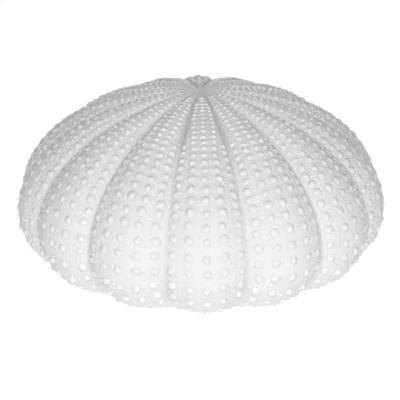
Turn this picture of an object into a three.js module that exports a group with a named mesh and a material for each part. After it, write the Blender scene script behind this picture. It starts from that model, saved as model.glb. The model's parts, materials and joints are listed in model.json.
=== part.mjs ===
// Sea urchin shell: the cleaned, bleached test of a regular sea urchin, about 100 mm across.
//
// One hollow wall of fourteen rounded lobes. The furrows between them run down from a closed apex,
// round the widest part and under, to a flat ring that the shell rests on. Inside the ring the
// underside dishes up to the round mouth. Small bosses, which carried the spines, stand in columns
// on the lobes, and a bare strip is left along each furrow.
//
// Millimetres, +Z up. The origin is the middle of the flat ring, in the plane it rests on. A lobe
// is centred on -Y, the side towards the photographer.

import * as THREE from 'three';

// Driving dimensions
const LOBES = 14;
const CREST_RADIUS = 49.9;        // the wall at the widest part of a lobe, without bosses
const DOME_TOP = 47.7;            // height of the dome's curve at the axis
const WIDEST_HEIGHT = 16.6;       // height of the widest part
const REST_OUTER = 33;            // the flat ring that the shell rests on
const REST_INNER = 29;
const MOUTH_RADIUS = 10.5;
const MOUTH_HEIGHT = 2.4;         // the mouth's outer rim above the plane it rests on
const WALL = 1.6;
const APEX_SINK = 0.8;            // the apex lies this far below the dome's curve
const APEX_SINK_RADIUS = 3.5;
const FURROW_AT_TOP = 1.5;        // furrow depths, square to the wall
const FURROW_AT_WAIST = 2.4;
const FURROW_BELOW = 2.7;
const FURROW_FADE = 16;           // along the wall, over which a furrow dies out at the ring
const LOBE_ROUNDNESS = 2.35;      // 2 is a parabola from furrow to furrow, more is a squarer lobe

const BOSS_WIDTH = 2.3;           // side of a boss's square foot
const BOSS_HEIGHT = 1.0;
const FIRST_ROW = 6.3;            // along the wall from the apex to the first row of bosses
const PITCH_AT_TOP = 3.6;         // between rows, along the wall
const PITCH_AT_WAIST = 5.85;
const THREE_COLUMNS_FROM = 19.5;  // radius where a lobe is wide enough for three columns
const FIVE_COLUMNS_FROM = 33;     // and for five
const LAST_ROW_RADIUS = 40.5;     // the lowest row, on the way in to the ring

// Places of the columns across a lobe, from -1 to 1 between its furrows
const ONE_COLUMN = [0];
const THREE_COLUMNS = [-0.46, 0, 0.46];
const FIVE_COLUMNS = [-0.8, -0.4, 0, 0.4, 0.8];

// The crest's meridian: a quarter ellipse from the apex out to the widest part, and a smaller one
// from there in to the flat ring. Its points are spaced evenly by angle and measured by length.
const ARC_STEPS = 200;

function meridianPoint(angle) {
  if (angle <= Math.PI / 2) {
    const radius = CREST_RADIUS * Math.sin(angle);
    const height = WIDEST_HEIGHT + (DOME_TOP - WIDEST_HEIGHT) * Math.cos(angle);
    return new THREE.Vector2(radius, height);
  }
  const reach = CREST_RADIUS - REST_OUTER;
  const radius = REST_OUTER + reach * Math.sin(angle);
  const height = WIDEST_HEIGHT + WIDEST_HEIGHT * Math.cos(angle);
  return new THREE.Vector2(radius, height);
}

const meridian = [{ length: 0, angle: 0 }];
for (let i = 1; i <= ARC_STEPS; i += 1) {
  const angle = (Math.PI * i) / ARC_STEPS;
  const before = meridian[i - 1];
  const step = meridianPoint(angle).distanceTo(meridianPoint(before.angle));
  meridian.push({ length: before.length + step, angle });
}
const MERIDIAN_LENGTH = meridian[ARC_STEPS].length;
const WAIST_LENGTH = meridian[ARC_STEPS / 2].length;

function angleAtLength(length) {
  const i = Math.max(1, meridian.findIndex((point) => point.length >= length));
  const low = meridian[i - 1];
  const high = meridian[i];
  const share = (length - low.length) / (high.length - low.length);
  return low.angle + share * (high.angle - low.angle);
}

function outwardNormal(angle) {
  const before = meridianPoint(Math.max(0, angle - 0.01));
  const after = meridianPoint(Math.min(Math.PI, angle + 0.01));
  const along = after.sub(before).normalize();
  return new THREE.Vector2(-along.y, along.x);
}

// How deep the furrow lies below the crest: deeper towards the waist, deepest just under it, and
// gone at the flat ring. At the very apex all the lobes meet in one sunken point.
function furrowDepth(length) {
  const smooth = THREE.MathUtils.smoothstep;
  const start = smooth(length, 0, FIRST_ROW * 0.8);
  const waist = smooth(length, FIRST_ROW, WAIST_LENGTH);
  const under = smooth(length, WAIST_LENGTH, WAIST_LENGTH + 10);
  const fade = 1 - smooth(length, MERIDIAN_LENGTH - FURROW_FADE, MERIDIAN_LENGTH);
  const depth = THREE.MathUtils.lerp(FURROW_AT_TOP, FURROW_AT_WAIST, waist);
  return start * fade * THREE.MathUtils.lerp(depth, FURROW_BELOW, under);
}

// A point of the wall. length runs down from the apex, turn counts lobes round the axis from the
// middle of the first furrow, and lift moves the point outwards, square to the crest.
function wallPoint(length, turn, lift) {
  const angle = angleAtLength(length);
  const normal = outwardNormal(angle);
  const across = Math.abs(2 * (turn - Math.floor(turn)) - 1);
  const drop = furrowDepth(length) * across ** LOBE_ROUNDNESS;
  const point = meridianPoint(angle).addScaledVector(normal, lift - drop);
  point.y -= APEX_SINK * Math.exp(-((point.x / APEX_SINK_RADIUS) ** 2));
  return onCircle(point.x, point.y, turn);
}

function onCircle(radius, height, turn) {
  const azimuth = (2 * Math.PI * (turn - 0.5)) / LOBES;
  return new THREE.Vector3(radius * Math.sin(azimuth), -radius * Math.cos(azimuth), height);
}

// The mesh is built from closed lines of vertices round the axis, from the apex down the outside,
// over the mouth's rim and back up the inside, each joined to the line before it.
const positions = [];
const triangles = [];

function addVertex(point) {
  positions.push(point.x, point.y, point.z);
  return positions.length / 3 - 1;
}

// A line holds its vertices with their turn, in order, and the first one again at the end.
function addLine(shares, pointAt) {
  const line = [];
  for (let lobe = 0; lobe < LOBES; lobe += 1) {
    for (const share of shares) {
      const turn = lobe + share;
      line.push({ turn, vertex: addVertex(pointAt(turn)) });
    }
  }
  line.push({ turn: LOBES, vertex: line[0].vertex });
  return line;
}

function joinLines(upper, lower) {
  let i = 0;
  let j = 0;
  while (i < upper.length - 1 || j < lower.length - 1) {
    const nextUpper = i < upper.length - 1 ? upper[i].turn + upper[i + 1].turn : Infinity;
    const nextLower = j < lower.length - 1 ? lower[j].turn + lower[j + 1].turn : Infinity;
    if (nextUpper <= nextLower) {
      triangles.push(upper[i].vertex, lower[j].vertex, upper[i + 1].vertex);
      i += 1;
    } else {
      triangles.push(upper[i].vertex, lower[j].vertex, lower[j + 1].vertex);
      j += 1;
    }
  }
}

function fanTo(vertex, line, facesUp) {
  for (let i = 0; i < line.length - 1; i += 1) {
    const here = line[i].vertex;
    const next = line[i + 1].vertex;
    triangles.push(vertex, facesUp ? here : next, facesUp ? next : here);
  }
}

// One row of bosses: two lines with the bosses' square feet between them, each drawn up to a tip.
function addBossRow(row) {
  const shares = [0];
  for (const place of row.places) {
    const middle = (place + 1) / 2;
    shares.push(middle - row.halfShare, middle + row.halfShare);
  }
  const top = addLine(shares, (turn) => wallPoint(row.length - row.half, turn, 0));
  const bottom = addLine(shares, (turn) => wallPoint(row.length + row.half, turn, 0));
  for (let i = 0; i < top.length - 1; i += 1) {
    const corners = [top[i].vertex, bottom[i].vertex, bottom[i + 1].vertex, top[i + 1].vertex];
    const isBoss = i % shares.length % 2 === 1;
    if (isBoss) {
      const turn = (top[i].turn + top[i + 1].turn) / 2;
      const tip = addVertex(wallPoint(row.length, turn, row.height));
      corners.forEach((corner, k) => triangles.push(corner, corners[(k + 1) % 4], tip));
    } else {
      triangles.push(corners[0], corners[1], corners[2]);
      triangles.push(corners[0], corners[2], corners[3]);
    }
  }
  return { top, bottom };
}

function bossRows() {
  const rows = [];
  let length = FIRST_ROW;
  while (length < MERIDIAN_LENGTH) {
    const angle = angleAtLength(length);
    const radius = meridianPoint(angle).x;
    if (angle > Math.PI / 2 && radius < LAST_ROW_RADIUS) break;
    let places = ONE_COLUMN;
    if (radius > THREE_COLUMNS_FROM) places = THREE_COLUMNS;
    if (radius > FIVE_COLUMNS_FROM) places = FIVE_COLUMNS;
    const lobeWidth = (2 * Math.PI * radius) / LOBES;
    const width = Math.min(BOSS_WIDTH, (0.6 * lobeWidth) / places.length);
    const size = width / BOSS_WIDTH;
    rows.push({ length, places, half: width / 2, halfShare: width / 2 / lobeWidth,
      height: BOSS_HEIGHT * Math.sqrt(size) });
    const side = THREE.MathUtils.clamp(length / WAIST_LENGTH, 0, 1);
    length += THREE.MathUtils.lerp(PITCH_AT_TOP, PITCH_AT_WAIST, side);
  }
  return rows;
}

// Outside: apex, rows of bosses, flat ring and dished underside to the mouth.
const apex = addVertex(onCircle(0, DOME_TOP - APEX_SINK, 0));
let last = null;
for (const row of bossRows()) {
  const lines = addBossRow(row);
  if (last === null) {
    fanTo(apex, lines.top, true);
  } else {
    joinLines(last, lines.top);
  }
  last = lines.bottom;
}

const HALVES = [0, 0.5];
const underside = [
  (turn) => wallPoint(MERIDIAN_LENGTH - 4, turn, 0),
  (turn) => onCircle(REST_OUTER, 0, turn),
  (turn) => onCircle(REST_INNER, 0, turn),
  (turn) => onCircle((REST_INNER + MOUTH_RADIUS) / 2, MOUTH_HEIGHT * 0.45, turn),
  (turn) => onCircle(MOUTH_RADIUS, MOUTH_HEIGHT, turn),
  (turn) => onCircle(MOUTH_RADIUS, MOUTH_HEIGHT + WALL, turn),
  (turn) => onCircle((REST_INNER + MOUTH_RADIUS) / 2, MOUTH_HEIGHT * 0.45 + WALL, turn),
  (turn) => onCircle(REST_INNER, WALL, turn),
  (turn) => onCircle(REST_OUTER, WALL, turn),
];
for (const pointAt of underside) {
  const line = addLine(HALVES, pointAt);
  joinLines(last, line);
  last = line;
}

// Inside: the same lobes, one wall thickness in, from the ring back up to the apex.
const INNER_ROWS = 9;
for (let i = 1; i < INNER_ROWS; i += 1) {
  const length = (MERIDIAN_LENGTH - 6) * (1 - i / INNER_ROWS) ** 0.9;
  const line = addLine(HALVES, (turn) => wallPoint(length, turn, -WALL));
  joinLines(last, line);
  last = line;
}
const innerApex = addVertex(onCircle(0, DOME_TOP - APEX_SINK - WALL - FURROW_AT_TOP, 0));
fanTo(innerApex, last, false);

const geometry = new THREE.BufferGeometry();
geometry.setAttribute('position', new THREE.Float32BufferAttribute(positions, 3));
geometry.setIndex(triangles);
geometry.computeVertexNormals();

const chalkWhite = new THREE.MeshStandardMaterial({
  color: 0xeeedea,
  roughness: 0.85,
  metalness: 0,
  flatShading: true,
});

const shell = new THREE.Mesh(geometry, chalkWhite);
shell.name = 'shell';

const seaUrchinShell = new THREE.Group();
seaUrchinShell.name = 'sea_urchin_shell';
seaUrchinShell.add(shell);

export default seaUrchinShell;
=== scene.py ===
# %% [markdown]
# # A sea urchin shell
# The cleaned shell of a sea urchin is one thin wall of white calcite, a little like unglazed
# porcelain. It is grown as fourteen rounded lobes with a furrow between each two, and it is
# covered with small knobs, the bosses, on which the spines once moved.
#
# This lesson builds it from formulas alone. The wall is one surface of two parameters, and the
# bosses are one small turned profile set thousands of times on that surface.

# %% Load the solid model as a fixed frame
import json

import bpy
import numpy as np
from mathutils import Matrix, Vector

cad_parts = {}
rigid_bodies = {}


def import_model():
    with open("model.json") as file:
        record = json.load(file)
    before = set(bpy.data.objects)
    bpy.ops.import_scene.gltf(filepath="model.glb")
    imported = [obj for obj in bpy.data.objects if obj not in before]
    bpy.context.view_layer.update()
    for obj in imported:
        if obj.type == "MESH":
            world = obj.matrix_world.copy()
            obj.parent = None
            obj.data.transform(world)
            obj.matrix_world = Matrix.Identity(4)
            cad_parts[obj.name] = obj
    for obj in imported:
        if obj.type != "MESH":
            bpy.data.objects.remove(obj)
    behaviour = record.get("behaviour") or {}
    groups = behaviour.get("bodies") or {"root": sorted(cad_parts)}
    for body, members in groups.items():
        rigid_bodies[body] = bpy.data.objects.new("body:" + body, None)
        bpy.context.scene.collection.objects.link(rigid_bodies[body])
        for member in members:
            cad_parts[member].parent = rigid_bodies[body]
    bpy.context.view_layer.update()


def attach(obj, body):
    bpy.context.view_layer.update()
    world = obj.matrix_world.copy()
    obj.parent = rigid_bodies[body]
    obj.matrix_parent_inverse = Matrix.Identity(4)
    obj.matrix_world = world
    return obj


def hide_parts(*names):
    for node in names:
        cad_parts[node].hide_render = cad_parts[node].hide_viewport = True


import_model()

MM = 0.001
random = np.random.default_rng(14)

# %% [markdown]
# ## The meridian
# Cut the shell in half through its axis and look at the edge of the cut: that line is the
# meridian. From the closed top a quarter of an ellipse runs out to the widest part, and a
# smaller quarter runs back in under it, down to a flat ring that the shell rests on. Inside the
# ring the underside dishes up to the round mouth.
#
# A point on it is named by its length, how far a fingertip has travelled from the top. Lengths
# keep the knobs evenly spaced on steep and on level ground, which heights or angles wouldn't.

# %% Real sizes and the meridian
LOBES = 14
CREST_RADIUS = 49.9 * MM
DOME_TOP = 47.7 * MM
WIDEST_HEIGHT = 16.6 * MM
REST_OUTER = 33 * MM
REST_INNER = 29 * MM
MOUTH_RADIUS = 10.5 * MM
MOUTH_HEIGHT = 2.4 * MM
WALL = 1.6 * MM
DOME_POINTS = 1500
UNDER_POINTS = 900
DISH_POINTS = 500
CREST_MARGIN = 1e-9

turn_out = np.linspace(0, np.pi / 2, DOME_POINTS)
turn_in = np.linspace(np.pi / 2, np.pi, UNDER_POINTS)[1:]
dish = np.linspace(0, 1, DISH_POINTS)[1:]
meridian_radius = np.concatenate([
    CREST_RADIUS * np.sin(turn_out),
    REST_OUTER + (CREST_RADIUS - REST_OUTER) * np.sin(turn_in),
    REST_OUTER + (REST_INNER - REST_OUTER) * dish,
    REST_INNER + (MOUTH_RADIUS - REST_INNER) * dish,
])
meridian_height = np.concatenate([
    WIDEST_HEIGHT + (DOME_TOP - WIDEST_HEIGHT) * np.cos(turn_out),
    WIDEST_HEIGHT + WIDEST_HEIGHT * np.cos(turn_in),
    0 * dish,
    MOUTH_HEIGHT * dish * dish * (2 - dish),
])
step = np.hypot(np.diff(meridian_radius), np.diff(meridian_height))
meridian_length = np.concatenate([[0], np.cumsum(step)])
dome = slice(0, DOME_POINTS)
WAIST_LENGTH = np.interp(CREST_RADIUS - CREST_MARGIN, meridian_radius[dome], meridian_length[dome])
RING_LENGTH = meridian_length[DOME_POINTS + UNDER_POINTS - 2]
RIM_LENGTH = meridian_length[-1]
print(f"along the wall: {WAIST_LENGTH / MM:.1f} mm to the widest part, "
      f"{RING_LENGTH / MM:.1f} to the ring, {RIM_LENGTH / MM:.1f} to the mouth")

# %% [markdown]
# ## The lobes
# The furrows are made by pushing the wall inwards, square to itself, by a depth that is nothing
# on a lobe's crest and greatest on the line between two lobes. A power of the distance across
# the lobe gives the round back and the sharp valley. The depth itself changes on the way down:
# nothing at the top, most just below the widest part, and nothing again where the shell touches
# the table. Two slow waves round the axis change it a little too, so that no two furrows match.
#
# Most changes along the wall are a smooth step between two lengths. Each such pair is a named
# zone from here on, and so is each pair of shares across a lobe.

# %% The wall as a function of length and turn
FURROW_AT_TOP = 1.5 * MM
FURROW_AT_WAIST = 2.6 * MM
FURROW_BELOW = 3.2 * MM
FURROW_AT_MOUTH = 0.3 * MM
FURROW_STARTS = 0, 22 * MM
FURROW_DEEPENS = 6 * MM, WAIST_LENGTH
FURROW_DEEPENS_UNDER = WAIST_LENGTH, WAIST_LENGTH + 10 * MM
FURROW_ENDS = RING_LENGTH - 12 * MM, RING_LENGTH
MOUTH_FURROW_STARTS = RING_LENGTH + 5 * MM, RIM_LENGTH - 4 * MM
LOBE_ROUNDNESS = 2.2
APEX_SINK = 0.4 * MM
APEX_SINK_RADIUS = 3.5 * MM
UNEVEN = 0.09


def smooth(value, start, end):
    """0 before start, 1 after end, and 3s^2 - 2s^3 of the share s of the way between them."""
    share = np.clip((value - start) / (end - start), 0, 1)
    return share * share * (3 - 2 * share)


def furrow_depth(length):
    """Top depth to waist depth by a smooth step and on to the depth below by another, times one
    step up from 0 at the top and one down to 0 at the ring, plus a small depth at the mouth."""
    start = smooth(length, *FURROW_STARTS)
    fade = 1 - smooth(length, *FURROW_ENDS)
    waist = smooth(length, *FURROW_DEEPENS)
    under = smooth(length, *FURROW_DEEPENS_UNDER)
    depth = FURROW_AT_TOP + (FURROW_AT_WAIST - FURROW_AT_TOP) * waist
    depth = depth + (FURROW_BELOW - depth) * under
    mouth = smooth(length, *MOUTH_FURROW_STARTS)
    return start * fade * depth + FURROW_AT_MOUTH * mouth


def across(turn):
    """0 on a lobe's crest and 1 on a furrow: |2 * (turn - whole part of turn) - 1|."""
    return np.abs(2 * (turn - np.floor(turn)) - 1)


def unevenness(turn):
    """1 plus two small sines of 3 and 5 waves round the axis."""
    around = 2 * np.pi * turn / LOBES
    return 1 + UNEVEN * (np.sin(3 * around + 1) + np.sin(5 * around + 4))


def wall(length, turn, lift=0.0):
    """Meridian point at length, moved outwards along its normal by lift less the furrow's depth
    times its unevenness and across^roundness, lowered at the top by APEX_SINK * e^-(radius /
    APEX_SINK_RADIUS)^2, then carried round the axis by turn lobes."""
    reach = 0.2 * MM
    radius = np.interp(length, meridian_length, meridian_radius)
    height = np.interp(length, meridian_length, meridian_height)
    run = (np.interp(length + reach, meridian_length, meridian_radius)
           - np.interp(length - reach, meridian_length, meridian_radius))
    rise = (np.interp(length + reach, meridian_length, meridian_height)
            - np.interp(length - reach, meridian_length, meridian_height))
    size = np.hypot(run, rise)
    out = lift - furrow_depth(length) * unevenness(turn) * across(turn) ** LOBE_ROUNDNESS
    radius = radius - rise / size * out
    height = height + run / size * out
    height = height - APEX_SINK * np.exp(-(radius / APEX_SINK_RADIUS) ** 2)
    azimuth = 2 * np.pi * (turn - 0.5) / LOBES
    return np.stack([radius * np.sin(azimuth), -radius * np.cos(azimuth), height], axis=-1)


def wall_axes(length, turn):
    """Unit vectors round, down and out at a point, from small steps of turn and length: out is
    down x round, and down is made square to both again."""
    turn_step = 1e-3
    length_step = 0.1 * MM
    round_ = wall(length, turn + turn_step) - wall(length, turn - turn_step)
    down = wall(length + length_step, turn) - wall(length - length_step, turn)
    round_ = round_ / np.linalg.norm(round_, axis=-1, keepdims=True)
    out = np.cross(down, round_)
    out = out / np.linalg.norm(out, axis=-1, keepdims=True)
    return round_, np.cross(round_, out), out


print("furrow depth at the widest part, mm:", round(float(furrow_depth(WAIST_LENGTH)) / MM, 2))

# %% [markdown]
# ## Where the bosses stand
# They stand in rows, because each row belongs to one ring of plates that the wall grew from. The
# plates are small and young at the top and large at the widest part, so the pitch from row to
# row grows on the way down. Counting rows is the same as adding up short steps of length, each
# divided by the pitch there; read backwards, the count gives every row its length.

# %% Rows from the top to the mouth
PITCH_AT_TOP = 1.65 * MM
PITCH_AT_WAIST = 4.6 * MM
LARGEST_PITCH = 4.9 * MM
PITCH_AT_MOUTH = 2.6 * MM
PITCH_SHRINKS = WAIST_LENGTH + 8 * MM, RIM_LENGTH
TRACK_POINTS = 4000


def pitch(length):
    """Grows from the top as the square of length up to LARGEST_PITCH, then shrinks by a smooth
    step from below the widest part to the mouth."""
    down = PITCH_AT_TOP + (PITCH_AT_WAIST - PITCH_AT_TOP) * (length / WAIST_LENGTH) ** 2
    under = smooth(length, *PITCH_SHRINKS)
    return np.minimum(down, LARGEST_PITCH) * (1 - under) + PITCH_AT_MOUTH * under


track = np.linspace(0, RIM_LENGTH, TRACK_POINTS)
count = np.concatenate([[0], np.cumsum(np.diff(track) / pitch(track[1:]))])


def row_at(length):
    """The number of rows passed on the way from the top to length."""
    return np.interp(length, track, count)


def length_of(row):
    """The length at which a row stands: row_at read backwards."""
    return np.interp(row, count, track)


print("rows of bosses:", int(count[-1]) - 1)

# %% [markdown]
# Across a lobe there is one column near the top, then three, then five. While there are three,
# the outer two stand wider apart. A grown thing is never quite even, so each boss, each column
# and each lobe's rows are a little off their place, by amounts from a seeded random source.
#
# All places come at once from three counts: the row, the lobe and the column.

# %% The place of every boss
COLUMN_GAP = 0.4
COLUMNS = COLUMN_GAP * np.arange(-2, 3)
COLUMN_STARTS = np.array([27, 10, 6, 10, 27]) * MM
OUTER_COLUMN = np.abs(COLUMNS) == COLUMNS[-1]
STAGGER = 0.45
STAGGER_ENDS = 40 * MM, 52 * MM
SPREAD_AT_TOP = 0.5
SPREAD_ENDS = 16 * MM, 32 * MM
LOBE_CHANCE = 0.13
COLUMN_CHANCE = 0.04
BOSS_CHANCE = 0.05
ACROSS_CHANCE = 0.018
MOST_LOBE_SHIFT = 0.3


def stagger_at(length):
    """How far a lobe's outer columns stand below its middle ones, in rows: none from the waist."""
    return STAGGER * (1 - smooth(length, *STAGGER_ENDS))


row, lobe, column = np.meshgrid(np.arange(1, int(count[-1])), np.arange(LOBES),
                                np.arange(len(COLUMNS)), indexing="ij")
lobe_shift = random.normal(0, LOBE_CHANCE, LOBES).clip(-MOST_LOBE_SHIFT, MOST_LOBE_SHIFT)
row_shift = random.normal(0, BOSS_CHANCE, row.shape)
row_shift = row_shift + random.normal(0, COLUMN_CHANCE, (LOBES, len(COLUMNS)))
row_shift = row_shift + lobe_shift[lobe] + OUTER_COLUMN[column] * stagger_at(length_of(row))
boss_length = length_of(row + row_shift)
spread = 1 + SPREAD_AT_TOP * (1 - smooth(boss_length, *SPREAD_ENDS)) * ~OUTER_COLUMN[column]
boss_across = COLUMNS[column] * spread + random.normal(0, ACROSS_CHANCE, row.shape)
boss_turn = lobe + 0.5 + boss_across / 2
boss_foot = wall(boss_length, boss_turn)
print("places for bosses:", boss_turn.size)

# %% [markdown]
# A boss is about a third of the pitch in radius, and about 1 mm at most. Near the top, where the
# plates are young, the bosses are tall for their size and wider than they are long, so that a row
# of them nearly joins. At the widest part they are round and lower, and under it tall again. On
# the underside they shrink, and where the shell rests there are none. Near the mouth only the
# three middle columns go on.

# %% Sizes of the bosses
LARGEST_BOSS = 1.05 * MM
BOSS_OF_PITCH = 0.34
BOSS_AT_TOP = 0.31
TALL_AT_TOP = 0.55
TALL_AT_WAIST = 0.39
TALL_BELOW = 0.65
BROAD_AT_TOP = 1.25
SHRINK_UNDER = 0.4
BOSSES_GROW = 18 * MM, 46 * MM
TALL_AGAIN = 60 * MM, 72 * MM
BOSSES_SHRINK = 74 * MM, 86 * MM
SIZE_CHANCE = 0.06
SIZE_LIMITS = 0.86, 1.12
TALL_LIMITS = 0.72, 1.15
CLEAR_OF_TABLE = 0.15 * MM
CLEAR_OF_RIM = 1.5 * MM

grown = smooth(boss_length, *BOSSES_GROW)
boss_radius = (BOSS_AT_TOP + (BOSS_OF_PITCH - BOSS_AT_TOP) * grown) * pitch(boss_length)
boss_radius = np.minimum(boss_radius, LARGEST_BOSS)
boss_radius = boss_radius * (1 - SHRINK_UNDER * smooth(boss_length, *BOSSES_SHRINK))
boss_radius = boss_radius * random.normal(1, SIZE_CHANCE, row.shape).clip(*SIZE_LIMITS)
low = smooth(boss_length, *TALL_AGAIN)
tall_share = TALL_AT_TOP + (TALL_AT_WAIST - TALL_AT_TOP) * grown + (TALL_BELOW - TALL_AT_WAIST) * low
boss_tall = boss_radius * tall_share * random.uniform(*TALL_LIMITS, row.shape)
boss_broad = BROAD_AT_TOP + (1 - BROAD_AT_TOP) * grown

standing = boss_length > COLUMN_STARTS[column]
standing &= boss_foot[..., 2] > boss_tall + CLEAR_OF_TABLE
standing &= boss_length < RIM_LENGTH - CLEAR_OF_RIM
standing &= ~(OUTER_COLUMN[column] & (boss_length > RING_LENGTH))
print("bosses:", np.count_nonzero(standing))

# %% [markdown]
# The wall must know its bosses: it dips a little round the foot of each one. For any point this
# function tries only the bosses of its own lobe, in its own row, the two rows above it and the one
# below it, for all points at once.

# %% Distance to the nearest boss
FAR = 9.0


def boss_share(length, turn):
    """Distance to the nearest boss's foot, divided by that boss's radius: 1 is its edge."""
    here = wall(length, turn)
    own_lobe = np.floor(turn).astype(int) % LOBES
    own_row = np.rint(row_at(length)).astype(int) - 1
    best = np.full(np.shape(length), FAR)
    for row_step in (-2, -1, 0, 1):
        near = np.clip(own_row + row_step, 0, len(row) - 1)
        for one_column in range(len(COLUMNS)):
            one = (near, own_lobe, one_column)
            share = np.linalg.norm(here - boss_foot[one], axis=-1) / boss_radius[one]
            best = np.minimum(best, np.where(standing[one], share, FAR))
    return best


one_row = np.linspace(WAIST_LENGTH, WAIST_LENGTH + LARGEST_PITCH)
crest_share = boss_share(one_row, np.full(one_row.shape, 0.5))
print(f"down one crest a boss is {crest_share.min():.1f} to {crest_share.max():.1f} radii away")

# %% [markdown]
# ## The relief of the plates
# Each ring of plates begins with a low brow, which arches over its bosses. Going down, the wall
# rises to the brow in a short step and falls away from it slowly. Towards the top, where the
# plates are crowded, the brows are strong and make the rows look like scales. Further down they
# are faint, and there the dip round each boss shows instead. The strips along the furrows are
# smooth, with a fine crease between them that is deepest towards the top.

# %% Brows of the plates, dips round the bosses and the crease of each furrow
BROW_AT_TOP = 0.06
BROW_BELOW = 0.012
BROW_ARCH = 0.09
BROW_STEP = 0.2
BROW_STARTS = 8 * MM, 26 * MM
BROW_FADES = 42 * MM, 60 * MM
BROW_SIDES = 0.8, 0.97
STAGGER_SIDES = 0.5, 0.7
DIP = 0.03
DIP_STARTS = 36 * MM, 50 * MM
DIP_SHARES = 1.0, 1.9
CREASE_AT_TOP = 0.6 * MM
CREASE_AT_WAIST = 0.22 * MM
CREASE_STARTS = 0, 7 * MM
CREASE_FADES = 12 * MM, 38 * MM
CREASE_SIDES = 0.8, 1.0
RELIEF_ENDS = RING_LENGTH - 8 * MM, RING_LENGTH - 2 * MM


def relief(length, turn, share):
    """Minus a saw, minus a dip within DIP_SHARES of a boss's radius, both a share of the pitch,
    minus the furrow's crease. The saw falls from 1 to 0 at each row's brow in BROW_STEP of a row,
    and climbs back to 1 before the next. The brow arches over every column by a cosine. Nothing
    here raises the wall."""
    side = across(turn)
    own_lobe = np.floor(turn).astype(int) % LOBES
    phase = row_at(length) - lobe_shift[own_lobe] - stagger_at(length) * smooth(side, *STAGGER_SIDES)
    phase = phase - BROW_ARCH * (1 - np.cos(2 * np.pi * side / COLUMN_GAP))
    past_step = phase - 0.5 - np.floor(phase - 0.5)
    climb = (past_step - BROW_STEP) / (1 - BROW_STEP)
    saw = np.where(past_step < BROW_STEP, 1 - past_step / BROW_STEP, climb)
    brow = BROW_AT_TOP + (BROW_BELOW - BROW_AT_TOP) * smooth(length, *BROW_FADES)
    brow = brow * smooth(length, *BROW_STARTS) * (1 - smooth(side, *BROW_SIDES))
    dip = DIP * smooth(length, *DIP_STARTS) * (1 - smooth(share, *DIP_SHARES))
    above_ring = 1 - smooth(length, *RELIEF_ENDS)
    crease = CREASE_AT_TOP + (CREASE_AT_WAIST - CREASE_AT_TOP) * smooth(length, *CREASE_FADES)
    crease = crease * smooth(length, *CREASE_STARTS) * smooth(side, *CREASE_SIDES)
    return -(pitch(length) * (brow * saw + dip) + crease) * above_ring


print("highest brows, mm:", round(BROW_AT_TOP * float(pitch(BROW_FADES[0])) / MM, 2))

# %% [markdown]
# ## A mesh from arrays
# Every piece is made the same way. The places of its vertices and the corners of its faces are
# whole numpy arrays, and each array goes into the mesh in one call.

# %% A mesh from vertices and faces


def make_piece(name, vertices, quads, triangles):
    """A smooth-shaded mesh object from arrays of vertices, four-sided and three-sided faces."""
    corners = np.concatenate([quads.ravel(), triangles.ravel()]).astype(np.int32)
    sizes = np.concatenate([np.full(len(quads), 4), np.full(len(triangles), 3)])
    starts = np.concatenate([[0], np.cumsum(sizes)[:-1]]).astype(np.int32)
    mesh = bpy.data.meshes.new(name)
    mesh.vertices.add(len(vertices))
    mesh.vertices.foreach_set("co", vertices.astype(np.float32).ravel())
    mesh.loops.add(len(corners))
    mesh.loops.foreach_set("vertex_index", corners)
    mesh.polygons.add(len(sizes))
    mesh.polygons.foreach_set("loop_start", starts)
    mesh.update(calc_edges=True)
    mesh.polygons.foreach_set("use_smooth", np.ones(len(sizes), bool))
    piece = bpy.data.objects.new(name, mesh)
    bpy.context.scene.collection.objects.link(piece)
    print(f"{name}: {len(vertices)} vertices, {2 * len(quads) + len(triangles)} triangles")
    return piece


def add_attribute(piece, name, values):
    """Keeps one number for each vertex, for the materials to read."""
    layer = piece.data.attributes.new(name, "FLOAT", "POINT")
    layer.data.foreach_set("value", np.asarray(values, np.float32).ravel())


# %% [markdown]
# ## The wall
# The surface is sampled on a grid: rows run round the axis, columns run from the top down the
# outside, round the mouth's rim and back up the inside to the top again. Both ends close in a
# single point, so the wall is one watertight skin with its real thickness. Five grid rows go to
# each row of bosses, so the grid is finest at the top, where the relief is finest too.

# %% The skins of the wall
GRID_PER_LOBE = 32
AROUND = LOBES * GRID_PER_LOBE
GRID_PER_ROW = 5
RIM_STEPS = 5
LINING_ROWS = 17
LINING_TOP = 3 * MM

turns = np.arange(AROUND) / AROUND * LOBES
outside = length_of(np.arange(0.5, row_at(RIM_LENGTH), 1 / GRID_PER_ROW))
outside = np.concatenate([outside, [RIM_LENGTH]])
inside = np.linspace(RIM_LENGTH, LINING_TOP, LINING_ROWS)
rim_arc = np.linspace(0, np.pi, RIM_STEPS + 2)[1:-1]

length_grid, turn_grid = np.meshgrid(outside, turns, indexing="ij")
share_grid = boss_share(length_grid, turn_grid)
outer_skin = wall(length_grid, turn_grid, relief(length_grid, turn_grid, share_grid))
lining_length, lining_turn = np.meshgrid(inside, turns, indexing="ij")
inner_skin = wall(lining_length, lining_turn, -WALL)
middle = (outer_skin[-1] + inner_skin[0]) / 2
half = (outer_skin[-1] - inner_skin[0]) / 2
inward = -middle * [1, 1, 0]
inward = inward / np.linalg.norm(inward, axis=-1, keepdims=True) * WALL / 2
rim = (middle + np.cos(rim_arc)[:, None, None] * half
       + np.sin(rim_arc)[:, None, None] * inward)

grid = np.concatenate([outer_skin, rim, inner_skin])
print("grid rows:", len(outside), "outside and", LINING_ROWS, "inside, of", AROUND, "vertices each")

# %% [markdown]
# Each four-sided face joins a vertex to the next row's and to its neighbours round the axis. Its
# corners run anticlockwise as seen from outside, so that it faces outwards. A fan of triangles
# closes each end.

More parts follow.
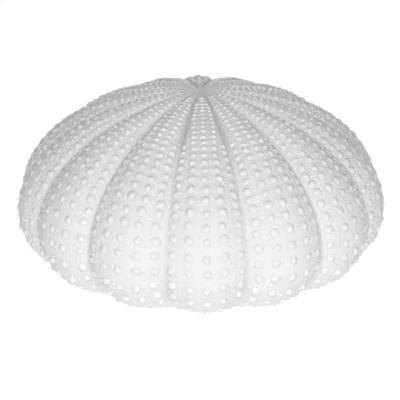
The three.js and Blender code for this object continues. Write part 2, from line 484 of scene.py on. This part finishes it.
# %% The faces of the wall
rows = len(grid)
top = wall(np.array(0.0), np.array(0.0))
inner_top = wall(np.array(LINING_TOP), np.array(0.0), -WALL) * [0, 0, 1]
wall_vertices = np.concatenate([grid.reshape(-1, 3), [top, inner_top]])
number = np.arange(rows * AROUND).reshape(rows, AROUND)
beside = np.roll(number, -1, axis=1)
wall_quads = np.stack([number[:-1], number[1:], beside[1:], beside[:-1]], -1).reshape(-1, 4)
top_fan = np.stack([np.full(AROUND, rows * AROUND), number[0], beside[0]], -1)
inner_fan = np.stack([np.full(AROUND, rows * AROUND + 1), beside[-1], number[-1]], -1)
shell_wall = make_piece("shell_wall", wall_vertices, wall_quads,
                        np.concatenate([top_fan, inner_fan]))

# %% [markdown]
# What a finish has to know about the place is kept on the vertices as plain numbers. One of them is
# painted shade: it is high in the furrows, most of all towards the top, and round the foot of each
# boss, where shade falls, and low all over the inside. `side` and `rows` say how far across its lobe
# and how many rows down a vertex is. The pore strips use those two.

# %% Numbers kept on the wall's vertices
# How much painted shade the furrows, their upper parts, the feet of the bosses and the inside get.
FURROW_SHADE = 0.35
TOP_FURROW_SHADE = 1.9
FOOT_SHADE = 0.75
INSIDE_SHADE = 0.3
FURROW_SHADE_STARTS = 1 * MM, 5 * MM
FURROW_SHADE_THINS = 18 * MM, 44 * MM
FURROW_SHADE_SIDES = 0.80, 0.98
FOOT_SHARES = 1.0, 1.5

# Painted shade in the furrows, most of all towards the top.
furrow_shade = FURROW_SHADE + TOP_FURROW_SHADE * (1 - smooth(length_grid, *FURROW_SHADE_THINS))
furrow_shade = furrow_shade * smooth(across(turn_grid), *FURROW_SHADE_SIDES) * smooth(length_grid, *FURROW_SHADE_STARTS)
# Painted shade round the foot of each boss.
foot_shade = FOOT_SHADE * (1 - smooth(share_grid, *FOOT_SHARES))
outside_shade = np.maximum(furrow_shade, foot_shade)
# An even, low painted shade over the whole inside.
inside_shade = np.full(len(wall_vertices) - outside_shade.size, INSIDE_SHADE)
painted_shading = np.concatenate([outside_shade.ravel(), inside_shade])
add_attribute(shell_wall, "painted_shading", painted_shading)
beyond = np.zeros(len(wall_vertices) - outside_shade.size)
add_attribute(shell_wall, "side", np.concatenate([across(turn_grid).ravel(), beyond]))
add_attribute(shell_wall, "rows", np.concatenate([row_at(length_grid).ravel(), beyond]))
print("share of the wall with dust:", round(float(np.mean(painted_shading > 0.5)), 2))

# %% [markdown]
# ## One boss, many times
# A boss is a profile turned about its own axis: a steep foot under a round back. Its lowest ring
# is sunk into the wall, so no gap shows. Broadcasting places all of them at once. The array has
# one axis for the boss, one for the ring on its profile and one for the corner on that ring, and
# a single line of arithmetic fills it.
#
# Near the top and under the widest part their tips are painted lighter than the wall, a painted
# highlight, which the painted shading says with a number below 0.

# %% Turned knobs on the wall
BOSS_PROFILE = np.array([
    [1.12, -0.20], [1.00, 0.10], [0.86, 0.34], [0.66, 0.56], [0.50, 0.84], [0.26, 0.97],
])
BOSS_SIDES = 10
FOOT_SHARE = 1.2
LEAN_AT_TOP = 0.35
LEAN_ENDS = 16 * MM, 40 * MM
LEAN_CHANCE = 0.16
OVAL = 0.06
FULL_TURN = 6.3
# How much lighter the tips are painted: a painted highlight.
TIP_HIGHLIGHT = 0.9
TIP_HEIGHTS = 0.1, 0.95
TIP_HIGHLIGHT_FADES = 22 * MM, 42 * MM
TIP_HIGHLIGHT_RETURNS = 64 * MM, 74 * MM


def turned_knobs(name, length, turn, radius, tall, broad, profile, sides, foot_shade):
    """Foot point + radius * profile distance * (broad * cos * round + sin * down) + tall * profile
    height * (out + lean), for every knob, ring and side at once, closed by a tip. The distance is
    made oval by a share of cos(2 * angle + chance). The lean is down the wall near the top, plus a
    chance. Painted shade falls from the foot to the tip round the widest part. Above and below it,
    the tips get a painted highlight instead, from 0 at the foot to the full tip highlight at the tip."""
    lift = relief(length, turn, np.full(length.shape, FOOT_SHARE))
    foot = wall(length, turn, lift)[:, None, None]
    round_, down, out = (axis[:, None, None] for axis in wall_axes(length, turn))
    angle = (np.arange(sides) / sides * 2 * np.pi)[None, None, :, None]
    lean = random.normal(0, LEAN_CHANCE, (2, len(length)))
    lean[1] += LEAN_AT_TOP * (1 - smooth(length, *LEAN_ENDS))
    lean = lean[:, :, None, None, None]
    out = out + lean[0] * round_ + lean[1] * down
    oval_turn = random.uniform(0, FULL_TURN, len(length))[:, None, None, None]
    oval = 1 + OVAL * np.cos(2 * angle + oval_turn)
    distance = oval * profile[:, 0][None, :, None, None] * radius[:, None, None, None]
    rise = profile[:, 1][None, :, None, None] * tall[:, None, None, None]
    round_ = round_ * broad[:, None, None, None]
    rings = foot + distance * (np.cos(angle) * round_ + np.sin(angle) * down) + rise * out
    tips = foot[:, 0, 0] + tall[:, None] * out[:, 0, 0]
    knobs, levels = len(length), len(profile)
    vertices = np.concatenate([rings.reshape(knobs, -1, 3), tips[:, None]], axis=1)
    each = levels * sides + 1
    first = (np.arange(knobs) * each)[:, None, None]
    number = np.arange(levels * sides).reshape(levels, sides)
    beside = np.roll(number, -1, axis=1)
    ring_quads = np.stack([number[:-1], number[1:], beside[1:], beside[:-1]], -1)
    cap = np.stack([number[-1], np.full(sides, levels * sides), beside[-1]], -1)
    quads = (ring_quads.reshape(1, -1, 4) + first).reshape(-1, 4)
    triangles = (cap[None] + first).reshape(-1, 3)
    piece = make_piece(name, vertices.reshape(-1, 3), quads, triangles)
    levels_of_one = np.concatenate([np.repeat(profile[:, 1], sides), [1.0]])
    above = smooth(levels_of_one, *TIP_HEIGHTS)[None, :]
    highlighted = (1 - smooth(length, *TIP_HIGHLIGHT_FADES) + smooth(length, *TIP_HIGHLIGHT_RETURNS))[:, None]
    # Painted shade from the foot up, or a painted highlight on the tip.
    painted_shading = foot_shade * (1 - above) * (1 - highlighted) - TIP_HIGHLIGHT * above * highlighted
    add_attribute(piece, "painted_shading", painted_shading)
    return piece


# The bosses carry painted shade round their foot and, near the top and low down, painted highlights
# on their tips.
spine_bosses = turned_knobs("spine_bosses", boss_length[standing], boss_turn[standing],
                            boss_radius[standing], boss_tall[standing], boss_broad[standing],
                            BOSS_PROFILE, BOSS_SIDES, foot_shade=0.7)

# %% [markdown]
# ## Granules
# Between the bosses stand far smaller knobs for the finest spines. They are thickest in two
# strips on each lobe, between its middle columns and its outer ones, and they ring each boss.
# A fine lattice of places is made first, four to a row, each shifted by chance. Then a place is
# kept by chance too, with odds that depend on where it is.

# %% Granules on a shaken lattice
FINE_ROWS = 4
FINE_COLUMNS = 18
GRANULES_FROM = 24 * MM
GRANULES_TO = 74 * MM
GRANULE_OF_PITCH = 0.075
GRANULE_PROFILE = np.array([[1.05, -0.35], [0.72, 0.62]])
GRANULE_SIDES = 6
GRANULE_SIZES = 0.75, 1.25
GRANULE_HEIGHTS = 0.55, 0.9
FINE_EDGE = 0.93
ROW_SHAKE = 0.3
COLUMN_SHAKE = 0.025
STRIP_MIDDLE = 0.6
STRIP_SPREAD = 0.11
ODDS_ANYWHERE = 0.12
ODDS_IN_STRIP = 0.85
ODDS_ROUND_BOSS = 0.45
RING_SHARE = 1.75
CLEAR_SHARE = 1.3

fine_row = np.arange(np.ceil(row_at(GRANULES_FROM) * FINE_ROWS), row_at(GRANULES_TO) * FINE_ROWS)
fine_row, fine_lobe, fine_column = np.meshgrid(
    fine_row, np.arange(LOBES), np.linspace(-FINE_EDGE, FINE_EDGE, FINE_COLUMNS), indexing="ij")
shaken_row = fine_row + random.uniform(-ROW_SHAKE, ROW_SHAKE, fine_row.shape)
granule_length = length_of(shaken_row / FINE_ROWS)
granule_across = fine_column + random.uniform(-COLUMN_SHAKE, COLUMN_SHAKE, fine_row.shape)
granule_turn = fine_lobe + 0.5 + granule_across / 2
granule_share = boss_share(granule_length, granule_turn)
strip = np.exp(-((np.abs(granule_across) - STRIP_MIDDLE) / STRIP_SPREAD) ** 2)
odds = ODDS_ANYWHERE + ODDS_IN_STRIP * strip + ODDS_ROUND_BOSS * (granule_share < RING_SHARE)
kept = (random.uniform(0, 1, odds.shape) < odds) & (granule_share > CLEAR_SHARE)
granule_radius = GRANULE_OF_PITCH * pitch(granule_length)
granule_radius = granule_radius * random.uniform(*GRANULE_SIZES, odds.shape)
granule_tall = granule_radius * random.uniform(*GRANULE_HEIGHTS, odds.shape)
# The granules carry a little painted shade round their foot, and painted highlights on their tips
# where the bosses have them.
granules = turned_knobs("granules", granule_length[kept], granule_turn[kept],
                        granule_radius[kept], granule_tall[kept], np.ones(np.sum(kept)),
                        GRANULE_PROFILE, GRANULE_SIDES, foot_shade=0.15)

# %% [markdown]
# ## The finish
# Bleached calcite is nearly white, matt, and very slightly uneven: fine pores and a faint mottle. On
# top of that it gets painted shade in the furrows and round the knobs' feet, and painted highlights
# on some tips. One node group makes the mottle, the painted shade and highlights and the pores for
# every piece; each material gives it its own numbers.

# %% A shared group of nodes for chalky calcite
PLAIN_WHITE = 0.78

chalk = bpy.data.node_groups.new("chalky_calcite", "ShaderNodeTree")
for socket, low_end, high_end, value in (("White", 0, 1, PLAIN_WHITE), ("Painted shading", 0, 1, 0.0),
                                         ("Roughness", 0, 1, 0.7), ("Bump", 0, 1, 0.4),
                                         ("Relief", -9, 9, 0.0)):
    entry = chalk.interface.new_socket(socket, in_out="INPUT", socket_type="NodeSocketFloat")
    entry.min_value, entry.max_value, entry.default_value = low_end, high_end, value
chalk.interface.new_socket("Color", in_out="OUTPUT", socket_type="NodeSocketColor")
chalk.interface.new_socket("Roughness", in_out="OUTPUT", socket_type="NodeSocketFloat")
chalk.interface.new_socket("Normal", in_out="OUTPUT", socket_type="NodeSocketVector")
given = chalk.nodes.new("NodeGroupInput")
made = chalk.nodes.new("NodeGroupOutput")
place = chalk.nodes.new("ShaderNodeTexCoord")


def noise(scale, detail):
    """A noise texture on the object's own coordinates, in features per metre."""
    node = chalk.nodes.new("ShaderNodeTexNoise")
    node.inputs["Scale"].default_value = scale
    node.inputs["Detail"].default_value = detail
    chalk.links.new(place.outputs["Object"], node.inputs["Vector"])
    return node.outputs["Fac"]


def maths(operation, first, second, tree=chalk):
    """A Math node; each input is a socket or a number."""
    node = tree.nodes.new("ShaderNodeMath")
    node.operation = operation
    for slot, value in zip(node.inputs, (first, second)):
        if isinstance(value, (int, float)):
            slot.default_value = value
        else:
            tree.links.new(value, slot)
    return node.outputs["Value"]


print("inputs of the chalky finish:", [entry.name for entry in given.outputs if entry.name])

# %% [markdown]
# The mottle makes the tone a little lighter or darker and the surface a little more or less matt.
# Painted shade makes it darker and more matt, and a painted highlight, a number below 0, makes it
# lighter and less matt. The pores, the mottle and whatever relief a material sends in become one
# bump, whose heights are in steps of TOOTH.

# %% Tone, roughness and bump in the group
# The white that full painted shade darkens the tone to.
SHADED_WHITE = 0.66
MOTTLE_SCALE = 220
PORE_SCALE = 1500
LEAST_SHADING = 0.7
TONE_OF_MOTTLE = 0.09
MATT_OF_MOTTLE = 0.25
MATT_OF_SHADING = 0.12
BUMP_OF_MOTTLE = 1.5
TOOTH = 0.1 * MM

mottle = maths("SUBTRACT", noise(MOTTLE_SCALE, detail=4), 0.5)
pores = noise(PORE_SCALE, detail=3)
# Painted shade darkens the tone and makes it more matt; below 0 it is a painted highlight, lighter
# and less matt.
shading_and_matt = maths("MULTIPLY", given.outputs["Painted shading"], maths("ADD", LEAST_SHADING, mottle))
tone = maths("ADD", given.outputs["White"], maths("MULTIPLY", mottle, TONE_OF_MOTTLE))
tone = maths("SUBTRACT", tone, maths("MULTIPLY", shading_and_matt, PLAIN_WHITE - SHADED_WHITE))
grey = chalk.nodes.new("ShaderNodeCombineColor")
for channel in ("Red", "Green", "Blue"):
    chalk.links.new(tone, grey.inputs[channel])
chalk.links.new(grey.outputs["Color"], made.inputs["Color"])
matt = maths("ADD", given.outputs["Roughness"], maths("MULTIPLY", mottle, MATT_OF_MOTTLE))
matt = maths("ADD", matt, maths("MULTIPLY", shading_and_matt, MATT_OF_SHADING))
chalk.links.new(matt, made.inputs["Roughness"])
tooth = chalk.nodes.new("ShaderNodeBump")
tooth.inputs["Distance"].default_value = TOOTH
chalk.links.new(given.outputs["Bump"], tooth.inputs["Strength"])
uneven = maths("ADD", pores, maths("MULTIPLY", mottle, BUMP_OF_MOTTLE))
chalk.links.new(maths("ADD", uneven, given.outputs["Relief"]), tooth.inputs["Height"])
chalk.links.new(tooth.outputs["Normal"], made.inputs["Normal"])
print("nodes in the chalky finish:", len(chalk.nodes))

# %% [markdown]
# Each lobe has two strips where the animal's tube feet came through the wall, three pairs of
# pores to a plate. They read as wavy lines, too fine for the mesh, so a second group makes them
# as a bump. It knows where it is from two attributes of the wall: `side`, 0 on a crest and 1 on a
# furrow, and `rows`, the count of rows from the top.

# %% Where the pore strips lie
STRIP_HALF = 0.13
STRIP_EDGE = 0.06
STRIP_WAVE = 0.035
STRIP_ROWS = 6, 17

strips = bpy.data.node_groups.new("pore_strips", "ShaderNodeTree")
for socket in ("Side", "Rows"):
    strips.interface.new_socket(socket, in_out="INPUT", socket_type="NodeSocketFloat")
strips.interface.new_socket("Relief", in_out="OUTPUT", socket_type="NodeSocketFloat")
side_in, rows_in = strips.nodes.new("NodeGroupInput").outputs[:2]


def step_node(value, start, end):
    """A Map Range node in the strips group: 0 at start, 1 at end, smooth between."""
    node = strips.nodes.new("ShaderNodeMapRange")
    node.interpolation_type = "SMOOTHSTEP"
    node.inputs["From Min"].default_value = start
    node.inputs["From Max"].default_value = end
    strips.links.new(value, node.inputs["Value"])
    return node.outputs["Result"]


turn_of_row = maths("MULTIPLY", rows_in, 2 * np.pi, strips)
wavy = maths("MULTIPLY", maths("COSINE", turn_of_row, 0.0, strips), STRIP_WAVE, strips)
from_middle = maths("SUBTRACT", maths("ADD", side_in, wavy, strips), STRIP_MIDDLE, strips)
off_strip = maths("ABSOLUTE", from_middle, 0.0, strips)
within = step_node(off_strip, STRIP_HALF, STRIP_HALF - STRIP_EDGE)
present = step_node(rows_in, *STRIP_ROWS)
print("pore strips begin at row", STRIP_ROWS[0], "and are whole from row", STRIP_ROWS[1])

# %% [markdown]
# Inside a strip the pores are a sine of the row count, three waves to a row. Adding the distance
# from the strip's middle to its angle bends each wave into a V, the way the pairs slant on a real
# plate. The whole strip lies a little lower than the wall beside it, and reads as a soft groove.

# %% The pores in the strips
STRIP_DEPTH = 1.7
PORE_RIDGE = 1.4
PAIRS_PER_ROW = 3.0
PAIR_SLANT = 30.0

along = maths("MULTIPLY", turn_of_row, PAIRS_PER_ROW, strips)
slant = maths("MULTIPLY", off_strip, PAIR_SLANT, strips)
pairs = maths("SINE", maths("ADD", along, slant, strips), 0.0, strips)
ridges = maths("SUBTRACT", maths("MULTIPLY", pairs, PORE_RIDGE / 2, strips), STRIP_DEPTH, strips)
ridges = maths("MULTIPLY", ridges, present, strips)
strips_out = strips.nodes.new("NodeGroupOutput")
strips.links.new(maths("MULTIPLY", ridges, within, strips), strips_out.inputs["Relief"])
print("nodes in the pore strips:", len(strips.nodes))

# %% [markdown]
# The knobs are a touch cleaner and smoother than the wall, because every brush and finger rubs
# over them first.

# %% Materials
SHEEN = 0.3


def calcite(piece, white, roughness, bump):
    """A matt white made by the shared group from the piece's own painted shade and highlight
    attribute. Returns the material's nodes and the group among them."""
    material = bpy.data.materials.new(piece.name + "_calcite")
    material.use_nodes = True
    nodes, links = material.node_tree.nodes, material.node_tree.links
    shader = nodes["Principled BSDF"]
    shader.inputs["Specular IOR Level"].default_value = SHEEN
    group = nodes.new("ShaderNodeGroup")
    group.node_tree = chalk
    group.inputs["White"].default_value = white
    group.inputs["Roughness"].default_value = roughness
    group.inputs["Bump"].default_value = bump
    # Reads the painted shade and painted highlight kept on the vertices.
    painted_shading_here = nodes.new("ShaderNodeAttribute")
    painted_shading_here.attribute_name = "painted_shading"
    links.new(painted_shading_here.outputs["Fac"], group.inputs["Painted shading"])
    links.new(group.outputs["Color"], shader.inputs["Base Color"])
    links.new(group.outputs["Roughness"], shader.inputs["Roughness"])
    links.new(group.outputs["Normal"], shader.inputs["Normal"])
    piece.data.materials.append(material)
    return material.node_tree, group


wall_tree, wall_group = calcite(shell_wall, white=0.77, roughness=0.74, bump=0.5)
calcite(spine_bosses, white=0.785, roughness=0.62, bump=0.25)
calcite(granules, white=0.8, roughness=0.66, bump=0.25)

strip_group = wall_tree.nodes.new("ShaderNodeGroup")
strip_group.node_tree = strips
for name in ("side", "rows"):
    reader = wall_tree.nodes.new("ShaderNodeAttribute")
    reader.attribute_name = name
    wall_tree.links.new(reader.outputs["Fac"], strip_group.inputs[name.capitalize()])
wall_tree.links.new(strip_group.outputs["Relief"], wall_group.inputs["Relief"])
print("materials:", [material.name for material in bpy.data.materials])

# %% [markdown]
# ## Parts of one body
# The shell moves as one body, so all three pieces ride on it. The wall takes the place of the plain
# solid, which is hidden.

# %% Bind the pieces to the solid model
pieces = (shell_wall, spine_bosses, granules)
for piece in pieces:
    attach(piece, "root")
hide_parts("shell")
print("pieces on the one body:", len(pieces))

# %% [markdown]
# ## Table, light and camera
# A white table that gives off light of its own keeps every shadow off it.

# %% Table
TABLE_GLOW = 0.90
TABLE_DROP = 0.05 * MM

bpy.ops.mesh.primitive_plane_add(size=4)
table = bpy.context.object
table.name = "table"
table.location.z = -TABLE_DROP
white = bpy.data.materials.new("white_table")
white.use_nodes = True
glow = white.node_tree.nodes["Principled BSDF"]
glow.inputs["Base Color"].default_value = (0.2, 0.2, 0.2, 1)
glow.inputs["Roughness"].default_value = 0.9
glow.inputs["Emission Color"].default_value = (1, 1, 1, 1)
glow.inputs["Emission Strength"].default_value = TABLE_GLOW
table.data.materials.append(white)
print("table glow:", TABLE_GLOW)

# %% [markdown]
# White on white has no colour to tell its shapes by, only shading. So the main light is a fairly
# small soft square, in front of the shell and above the camera, which leaves the far sides of the
# lobes and bosses darker. A weak light low in front opens the shadows under the widest part, and
# one behind does the same for the back. A dim even sky reaches the rest.

# %% Lights
SKY_LIGHT = 0.07
FRONT_WATTS = 4.9
FILL_WATTS = 0.5
BACK_WATTS = 1.2
LIGHT_DISTANCE = 0.8
LIGHT_AIM = 20 * MM

scene = bpy.context.scene
scene.view_settings.view_transform = "Standard"
world = bpy.data.worlds.new("studio")
scene.world = world
world.use_nodes = True
sky = world.node_tree.nodes["Background"]
sky.inputs["Color"].default_value = (1, 1, 1, 1)
sky.inputs["Strength"].default_value = SKY_LIGHT


def away(azimuth, elevation):
    """Unit vector from the shell towards an azimuth and elevation in degrees, 0 in front."""
    a, e = np.radians([azimuth, elevation])
    return Vector((np.sin(a) * np.cos(e), -np.cos(a) * np.cos(e), np.sin(e)))


def soft_light(name, azimuth, elevation, size, watts):
    """A square area light that faces the shell from an azimuth and elevation in degrees."""
    light = bpy.data.lights.new(name, "AREA")
    light.size = size
    light.energy = watts
    holder = bpy.data.objects.new(name, light)
    back = away(azimuth, elevation)
    holder.location = back * LIGHT_DISTANCE + Vector((0, 0, LIGHT_AIM))
    holder.rotation_mode = "QUATERNION"
    holder.rotation_quaternion = (-back).to_track_quat("-Z", "Y")
    scene.collection.objects.link(holder)


soft_light("front", azimuth=0, elevation=40, size=0.45, watts=FRONT_WATTS)
soft_light("fill", azimuth=0, elevation=5, size=0.5, watts=FILL_WATTS)
soft_light("back", azimuth=180, elevation=12, size=0.5, watts=BACK_WATTS)
print("lights, watts:", FRONT_WATTS, FILL_WATTS, BACK_WATTS)

# %% [markdown]
# The camera looks from about 22 degrees above the table. Its lens is long and it stands well back,
# so that the near lobes aren't much larger than the far ones.

# %% Camera
CAMERA_AZIMUTH = -1.75
CAMERA_ELEVATION = 22.3
CAMERA_DISTANCE = 394.8 * MM
AIM_HEIGHT = 15.9 * MM
LENS = 129.5
SENSOR = 36
SIDE_SHIFT = -0.00175
NEAREST = 0.01
FARTHEST = 20

camera_data = bpy.data.cameras.new("camera")
camera_data.lens = LENS
camera_data.sensor_width = SENSOR
camera_data.shift_x = SIDE_SHIFT
camera_data.clip_start = NEAREST
camera_data.clip_end = FARTHEST
camera = bpy.data.objects.new("camera", camera_data)
back = away(CAMERA_AZIMUTH, CAMERA_ELEVATION)
camera.location = Vector((0, 0, AIM_HEIGHT)) + back * CAMERA_DISTANCE
camera.rotation_mode = "QUATERNION"
camera.rotation_quaternion = (-back).to_track_quat("-Z", "Y")
scene.collection.objects.link(camera)
scene.camera = camera
print("camera height, mm:", round(camera.location.z / MM))
